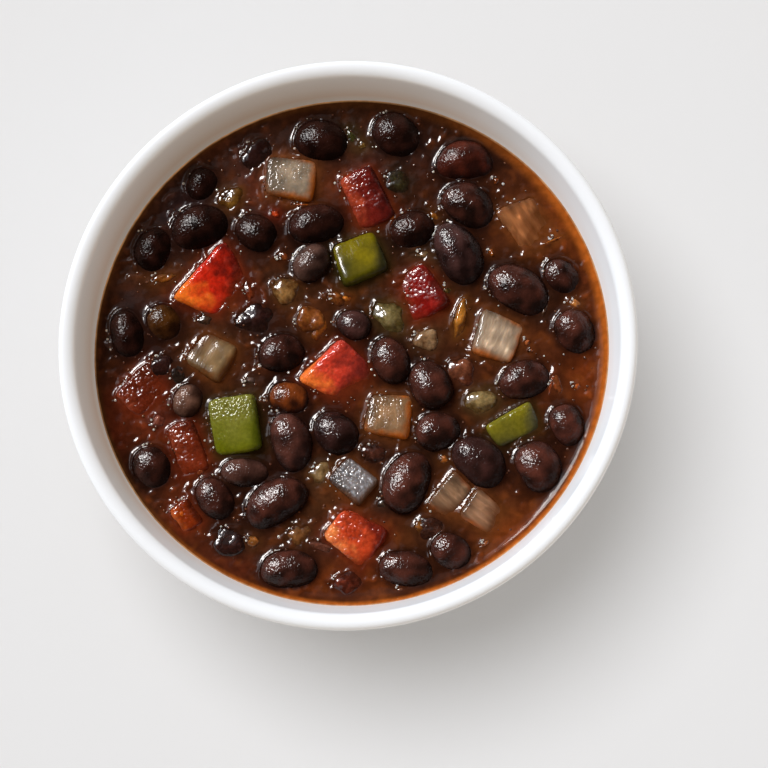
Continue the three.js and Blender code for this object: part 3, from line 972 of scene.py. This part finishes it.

# Clouds in the broth and patches of painted sheen: pixel x and y, long and wide in
# pixels, turn in degrees, tint and strength.
CLOUDS_AND_SHEEN = [
    (250, 300, 60, 40, -30, (92, 36, 18), 0.7),
    (150, 400, 70, 70, 0, (98, 36, 15), 0.6),
    (165, 440, 80, 50, -50, (108, 40, 15), 0.6),
    (185, 470, 50, 40, 0, (100, 36, 15), 0.5),
    (118, 430, 30, 60, 20, (84, 30, 12), 0.6),
    (560, 230, 60, 110, 25, (104, 46, 14), 0.75),
    (585, 360, 40, 150, 0, (106, 44, 14), 0.7),
    (550, 390, 70, 70, 0, (104, 46, 16), 0.6),
    (545, 345, 60, 40, 0, (84, 40, 18), 0.6),
    (500, 540, 130, 40, 30, (112, 50, 16), 0.7),
    (330, 580, 120, 24, 5, (116, 50, 14), 0.7),
    (380, 585, 90, 22, -5, (104, 48, 18), 0.6),
    (230, 560, 90, 30, -30, (88, 34, 18), 0.6),
    (180, 505, 70, 30, -50, (96, 42, 18), 0.6),
    (470, 180, 60, 70, 0, (74, 36, 20), 0.55),
    (420, 170, 50, 50, 0, (70, 34, 22), 0.5),
    (270, 230, 60, 60, 0, (74, 34, 20), 0.5),
    (255, 190, 40, 60, 0, (74, 30, 22), 0.5),
    (330, 195, 30, 60, 0, (88, 40, 20), 0.6),
    (300, 290, 60, 70, 0, (72, 42, 22), 0.5),
    (350, 310, 60, 60, 0, (66, 38, 20), 0.5),
    (440, 260, 60, 40, 0, (80, 58, 34), 0.5),
    (360, 440, 50, 40, 0, (72, 42, 22), 0.5),
    (440, 440, 60, 60, 0, (60, 38, 20), 0.5),
    (230, 470, 60, 40, 0, (62, 40, 20), 0.5),
    (320, 500, 70, 50, 0, (84, 50, 26), 0.5),
    (420, 540, 60, 60, 0, (92, 48, 20), 0.6),
    (480, 470, 60, 60, 0, (78, 42, 22), 0.5),
    (150, 275, 60, 30, 0, (84, 44, 14), 0.5),
    # The next four grey-purple patches, at the left and upper left, are a painted sheen of
    # reflected light, not the broth's own colour.
    (130, 300, 30, 60, 0, (40, 28, 28), 0.5),
    (185, 200, 70, 40, 45, (34, 27, 32), 0.6),
    (250, 150, 60, 40, 30, (52, 32, 30), 0.5),
    (380, 150, 90, 40, 0, (56, 40, 36), 0.5),
    (240, 260, 40, 30, 0, (60, 34, 26), 0.4),
    (210, 340, 50, 40, 0, (56, 36, 24), 0.5),
    (390, 230, 30, 40, 0, (52, 36, 28), 0.5),
    (500, 300, 60, 40, 0, (80, 42, 22), 0.5),
    (300, 440, 40, 60, 0, (44, 28, 20), 0.4),
]


def hex_disc(rings):
    """Unit disc as rings of six sectors: places, triangles and the outer ring."""
    places = [np.zeros((1, 2))]
    for ring in range(1, rings + 1):
        turns = 2 * math.pi * np.arange(6 * ring) / (6 * ring)
        places.append(ring / rings * np.stack([np.cos(turns), np.sin(turns)], 1))
    starts = [0] + [1 + 3 * ring * (ring - 1) for ring in range(1, rings + 2)]
    faces = []
    for ring in range(1, rings + 1):
        inner_count, outer_count = max(6 * (ring - 1), 1), 6 * ring
        sector = np.repeat(np.arange(6), ring)
        step = np.tile(np.arange(ring), 6)
        outer = starts[ring] + sector * ring + step
        outer_next = starts[ring] + (sector * ring + step + 1) % outer_count
        inner = starts[ring - 1] + (sector * (ring - 1) + step) % inner_count
        faces.append(np.stack([inner, outer, outer_next], 1))
        inner_next = starts[ring - 1] + (sector * (ring - 1) + step + 1) % inner_count
        faces.append(np.stack([inner, outer_next, inner_next], 1)[step < ring - 1])
    outer_ring = starts[rings] + np.arange(6 * rings)
    return np.concatenate(places), np.concatenate(faces), outer_ring


def climb_stains_and_shade(spots, pieces):
    """Climb of the broth beside the pieces, and the stain they give it with its share; beside beans
    the stain is partly painted shade.
    """
    flat = np.ones(len(spots))
    weight = np.full(len(spots), 1e-6)
    tint = np.zeros((len(spots), 3))
    for piece in pieces:
        beyond_low = spots[:, :2] > piece.low[:2] - STAIN_AND_SHADE_MARGIN
        before_high = spots[:, :2] < piece.high[:2] + STAIN_AND_SHADE_MARGIN
        near = np.nonzero((beyond_low & before_high).all(1))[0]
        away, steep = piece.nearest(spots[near])
        cling = np.clip(0.55 * (piece.high[2] - LEVEL) / CLING_CLIMB, 0.15, 1)
        broken = smooth_step(0.3, 0.75, steep) * (1 + 0.3 * noise(spots[near], 2.0, 83))
        outward = spots[near][:, :2] - piece.middle
        lit = (outward[:, 1] - outward[:, 0]) / np.maximum(np.hypot(*outward.T), 0.5)
        broken *= 0.3 + 0.7 * smooth_step(-0.9, 0.3, lit)
        flat[near] *= 1 - np.clip(cling * broken, 0, 1) * np.exp(-away / CLING_REACH)
        share = np.exp(-away / piece.reach)
        weight[near] += share
        tint[near] += share[:, None] * piece.stain_and_shade
    return CLING_CLIMB * (1 - flat), tint / weight[:, None], np.clip(weight, 0, 1)


def climb_at_wall(x, y):
    """Height that the broth climbs the wall: most at the lower right of the photo."""
    outward = (x - y) / math.sqrt(2) / np.maximum(np.hypot(x, y), 1e-6)
    return WALL_CLIMB + WALL_CLIMB_LEAN * outward


def clouded_and_sheened(colours, x, y):
    """Broth tints with the cloudy patches, and the patches of painted sheen, laid over them."""
    for cx, cy, long, wide, turn, tint, strength in in_millimetres(CLOUDS_AND_SHEEN, 0):
        c, s = math.cos(math.radians(turn)), math.sin(math.radians(turn))
        along = ((x - cx) * c + (y - cy) * s) / (long / 2)
        across = ((y - cy) * c - (x - cx) * s) / (wide / 2)
        colours = mixed(colours, linear(tint), strength * np.exp(-1.2 * (along**2 + across**2)))
    return colours


def clots(places):
    """Where small soft lumps of pulp show at the surface, as a share."""
    gathered = smooth_step(-0.35, 0.3, noise(places, 9.0, 77))
    return gathered * smooth_step(0.12, 0.5, noise(places, 1.8, 75))


def broth_colours(places, stains_and_shade, share):
    """Tint of the broth: dark and murky, stained beside the pieces, orange at the wall, with
    painted shade, sheen and light.
    """
    x, y = places[:, 0], places[:, 1]
    murk = layered_noise(places, 12.0, 61)
    side = 0.5 + (0.5 * x - 0.6 * y) / 80.0
    colours = mixed(linear(BROTH_DARK), linear(BROTH_RED), 0.7 * side + 0.5 * murk)
    colours = clouded_and_sheened(colours, x, y)
    colours = colours * np.exp(0.5 * layered_noise(places, 3.6, 67, 2))[:, None]
    pulp = smooth_step(0.1, 0.6, noise(places, 2.8, 73)) * (0.15 + 0.55 * side)
    colours = mixed(colours, linear(BROTH_PULP), 0.6 * pulp)
    colours = mixed(colours, colours * CLOT_GAIN, clots(places))
    # Beside the beans this darkening is painted shade as well as stain; beside the other pieces it
    # is their stain.
    colours = mixed(colours, stains_and_shade, 0.8 * share)
    inward = wall_radius(LEVEL + climb_at_wall(x, y)) - np.hypot(x, y)
    inward = inward + 0.12 * noise(places, 5.0, 71)
    # Painted shade: towards the upper left, where the wall is in shade, the orange film at the wall
    # gives way to a dark tint.
    right = smooth_step(-0.5, 0.6, toward(x, y, LOWER_RIGHT))
    edge = mixed(linear(BROTH_EDGE_SHADE), linear(BROTH_EDGE), right)
    upper_right = smooth_step(0.0, 0.9, toward(x, y, UPPER_RIGHT))
    colours = mixed(colours, edge, 0.9 * smooth_step(1.4 + 1.6 * upper_right, 0.4, inward))
    colours = mixed(colours, linear(BROTH_RIM), 0.85 * smooth_step(0.4, 0.1, inward))
    # Painted light: the broth is lightened towards the upper left wall, where the wall's shadow
    # falls.
    return colours * (1.06 + 0.9 * smooth_step(28.0, 54.0, 0.77 * y - 0.64 * x))[:, None]


def make_broth(pieces):
    """The broth's body: its shaped surface, and sides and a floor that follow the bowl."""
    disc, triangles, ring = hex_disc(RING_COUNT)
    top = climb_at_wall(disc[:, 0], disc[:, 1])
    edge = wall_radius(LEVEL + top) + WALL_OVERLAP
    reach = np.hypot(disc[:, 0], disc[:, 1])[:, None]
    disc = disc * (1 + RIM_CROWDING * reach**20 * (1 - reach) / np.maximum(reach, 0.1))
    spots = np.column_stack([disc * edge[:, None], np.full(len(disc), LEVEL)])
    rise, stains_and_shade, share = climb_stains_and_shade(spots, pieces)
    colours = broth_colours(spots, stains_and_shade, share)
    inward = edge - WALL_OVERLAP - np.hypot(spots[:, 0], spots[:, 1])
    climb = top * np.exp(-np.clip(inward, 0, None) / WALL_REACH)
    swell = SWELL_HEIGHT * noise(spots, 5.0, 5) + RIPPLE_HEIGHT * noise(spots, 2.2, 6)
    swell = swell + CLOT_HEIGHT * clots(spots)
    spots[:, 2] += np.maximum(rise, climb) + swell * np.exp(-climb * 4)
    faces = list(triangles)
    rim = disc[ring]
    for radius in SIDE_RADII:
        reach, low = wall_point(radius, WALL_OVERLAP)
        lower = len(spots) + np.arange(len(rim))
        spots = np.concatenate([spots, np.column_stack([rim * reach, np.full(len(rim), low)])])
        faces += list(np.stack([ring, lower, np.roll(lower, -1), np.roll(ring, -1)], 1))
        ring = lower
    spots = np.concatenate([spots, [(0, 0, FLOOR_HEIGHT + 0.1)]])
    faces += list(np.stack([np.full(len(ring), len(spots) - 1), np.roll(ring, -1), ring], 1))
    below = np.tile(linear(BROTH_DARK), (len(spots) - len(colours), 1))
    colours = np.concatenate([colours, below])
    inward = wall_radius(LEVEL + WALL_CLIMB) - np.hypot(spots[:, 0], spots[:, 1])
    sparkle = smooth_step(1.5, 4.0, inward)
    sparkle *= 0.1 + 0.9 * smooth_step(-0.6, 0.5, noise(spots, 5.0, 91))
    broth = make_object("broth_surface", spots, faces, broth_material(), colours, spots, sparkle)
    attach(broth, "root")
    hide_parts("soup")


# ---- Bubbles ----

SCATTERED_BEADS = 300
# The pale third tint is a painted glint: white dots that stand in for highlights on tiny bubbles.
BEAD_TINTS_WITH_GLINT = [(84, 48, 32), (104, 60, 36), (196, 184, 174)]
BEAD_SHARES = [0.72, 0.18, 0.1]
CHAIN_SHARES = [0.4, 0.1, 0.5]
BEAD_SEED = 12
BEAD_CELLS = 3
BEAD_FLATNESS = 0.6
OPEN_REACH = 56
OPEN_RADII = (0.12, 0.36)
# Chains of beads beside the pieces: side where they start and its spread in degrees,
# how many beads, degrees from bead to bead, gaps to the piece, and radii.
CHAIN_SIDE = 135.0
CHAIN_SPREAD = 70.0
CHAIN_COUNTS = (3, 10)
CHAIN_STEPS = (6, 13)
CHAIN_GAPS = (0.1, 0.9)
CHAIN_RADII = (0.12, 0.32)


def beads_beside(piece, rng):
    """A short chain of beads along the upper left of a piece's outline."""
    if len(piece.outline) == 0:
        return []
    away = piece.outline - piece.middle
    turns = np.degrees(np.arctan2(away[:, 1], away[:, 0]))
    start = CHAIN_SIDE + rng.uniform(-0.6, 0.6) * CHAIN_SPREAD
    beads = []
    for step in range(rng.integers(*CHAIN_COUNTS)):
        turn = start + step * rng.uniform(*CHAIN_STEPS)
        spot = piece.outline[np.argmin(np.abs((turns - turn + 180) % 360 - 180))]
        outward = (spot - piece.middle) / np.linalg.norm(spot - piece.middle)
        gap = rng.uniform(*CHAIN_GAPS)
        height = LEVEL + 0.1 + CLING_CLIMB * math.exp(-gap / CLING_REACH)
        beads.append((*(spot + outward * gap), height, rng.uniform(*CHAIN_RADII)))
    return beads


def open_broth(x, y, pieces):
    """Whether no piece lies above a spot of the broth."""
    start, down = (x, y, LEVEL + 20), (0, 0, -1)
    for piece in pieces:
        hit = piece.tree.ray_cast(start, down)[0]
        if hit is not None and hit.z > LEVEL - 0.3:
            return False
    return True


def make_beads(pieces):
    """Beads of froth and oil and specks of pulp, half out of the broth, as one piece; the pale ones
    are painted glints.
    """
    ball, quads = cube_ball(BEAD_CELLS)
    rng = np.random.default_rng(BEAD_SEED)
    beads = [bead for piece in pieces for bead in beads_beside(piece, rng)]
    chained = len(beads)
    while len(beads) < chained + SCATTERED_BEADS:
        x, y = rng.uniform(-OPEN_REACH, OPEN_REACH, 2)
        if math.hypot(x, y) < OPEN_REACH and open_broth(x, y, pieces):
            beads.append((x, y, LEVEL + 0.08, rng.uniform(*OPEN_RADII)))
    form = ball * (1, 1, BEAD_FLATNESS)
    points = np.concatenate([form * r + np.array([x, y, z]) for x, y, z, r in beads])
    faces = np.concatenate([quads + len(ball) * i for i in range(len(beads))])
    choices = rng.choice(len(BEAD_TINTS_WITH_GLINT), len(beads), p=BEAD_SHARES)
    choices[:chained] = rng.choice(len(BEAD_TINTS_WITH_GLINT), chained, p=CHAIN_SHARES)
    tints = np.repeat(linear(BEAD_TINTS_WITH_GLINT)[choices], len(ball), axis=0)
    material = flesh_material("froth")
    froth = make_object("froth_beads", points, faces, material, tints, points)
    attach(froth, "root")


# ---- Stage, light and camera ----

FLOOR_SIZE = 6.0
SENSOR_WIDTH = 36.0
FARTHEST = 20.0
FILL_STRENGTH = 0.43
FILL_COLOUR = (1.0, 0.85, 0.68)

# Side and height of the soft lamp in degrees, the angle it spans, its strength,
# its colour, what it lights, and whether it shades surfaces or only glints there.
LAMPS = {
    "key": (136.0, 42.0, 30.0, 3.05, (0.9, 1.005, 1.135), "soup", "shade"),
    "bowl_key": (136.0, 42.0, 30.0, 2.6, (0.9, 1.005, 1.135), "bowl", "shade"),
    "left_card": (40.0, 30.0, 40.0, 0.45, (0.9, 1.0, 1.1), "bowl", "shade"),
    "right_card": (195.0, 30.0, 40.0, 0.5, (0.9, 1.0, 1.1), "bowl", "shade"),
    "edge_card": (-50.0, -6.0, 20.0, 1.2, (1.0, 1.0, 1.0), "part", "shade"),
    "glint": (135.0, 44.0, 18.0, 4.0, (1.0, 0.98, 0.96), "soup", "gloss"),
    "window": (142.0, 44.0, 38.0, 1.0, (0.92, 0.93, 1.0), "soup", "gloss"),
    "veil": (125.0, 50.0, 48.0, 0.15, (1.0, 0.96, 1.0), "part", "gloss"),
    "lip_glint": (131.0, 44.0, 20.0, 0.5, (1.0, 1.0, 1.0), "bowl", "gloss"),
    "sheen": (-45.0, 30.0, 60.0, 0.08, (0.95, 0.95, 1.0), "part", "gloss"),
    "floor_key": (137.0, 72.0, 36.0, 1.65, (1.0, 0.995, 1.017), "floor", "shade"),
    "floor_fill": (131.0, 89.0, 90.0, 0.36, (0.54, 1.0, 1.5), "floor", "shade"),
}


def make_floor():
    half = FLOOR_SIZE / 2 / MM
    corners = [(-half, -half, 0), (half, -half, 0), (half, half, 0), (-half, half, 0)]
    floor = make_object("floor", corners, [(0, 1, 2, 3)], floor_material())
    return floor


def direction(side, height):
    """Unit vector at an angle round from +X and an angle above the floor, in degrees."""
    a, e = math.radians(side), math.radians(height)
    return Vector((math.cos(a) * math.cos(e), math.sin(a) * math.cos(e), math.sin(e)))


def aimed(thing, place, target):
    """Put a thing at a place, looking at the target with the far side upwards."""
    back = (place - target).normalized()
    right = Vector((0, 1, 0)).cross(back).normalized()
    thing.location = place
    thing.rotation_euler = Matrix((right, back.cross(right), back)).transposed().to_euler()


def make_lamps(floor):
    """Soft lamps, each for the floor, the whole part, the soup alone or the bowl alone."""
    groups = ("floor", "part", "soup", "bowl")
    lit = {name: bpy.data.collections.new("lit_" + name) for name in groups}
    for piece in bpy.context.scene.objects:
        if piece == floor:
            lit["floor"].objects.link(piece)
        elif piece.type == "MESH":
            lit["part"].objects.link(piece)
            lit["bowl" if piece.name == "bowl_glazed" else "soup"].objects.link(piece)
    middle = Vector((0, 0, 0))
    for name, (side, height, span, strength, colour, lights, role) in LAMPS.items():
        light = bpy.data.lights.new(name, "SUN")
        light.angle = math.radians(span)
        light.energy = strength
        light.color = colour
        lamp = bpy.data.objects.new(name, light)
        bpy.context.scene.collection.objects.link(lamp)
        lamp.light_linking.receiver_collection = lit[lights]
        lamp.visible_glossy = role == "gloss"
        lamp.visible_diffuse = role == "shade"
        aimed(lamp, direction(side, height), middle)


def make_world():
    world = bpy.data.worlds.new("room")
    world.use_nodes = True
    background = world.node_tree.nodes["Background"]
    background.inputs["Color"].default_value = (*FILL_COLOUR, 1.0)
    background.inputs["Strength"].default_value = FILL_STRENGTH
    world.cycles_visibility.glossy = False
    bpy.context.scene.world = world


def make_camera():
    lens = bpy.data.cameras.new("camera")
    lens.sensor_width = SENSOR_WIDTH
    lens.lens = CAMERA_ZOOM / PICTURE_SIZE * SENSOR_WIDTH
    lens.shift_x = PICTURE_SHIFT[0] / PICTURE_SIZE
    lens.shift_y = PICTURE_SHIFT[1] / PICTURE_SIZE
    lens.clip_end = FARTHEST
    camera = bpy.data.objects.new("camera", lens)
    bpy.context.scene.collection.objects.link(camera)
    aim = Vector(CAMERA_AIM) * MM
    aimed(camera, aim + Vector(camera_back()) * CAMERA_DISTANCE * MM, aim)
    bpy.context.scene.camera = camera


def main():
    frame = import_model()
    nodes = frame["nodes"]
    bpy.context.scene.view_settings.view_transform = "Standard"
    make_bowl(glaze_material())
    pieces = make_beans(nodes) + make_cubes(nodes) + make_bits()
    make_broth(pieces)
    make_beads(pieces)
    make_lamps(make_floor())
    make_world()
    make_camera()


main()
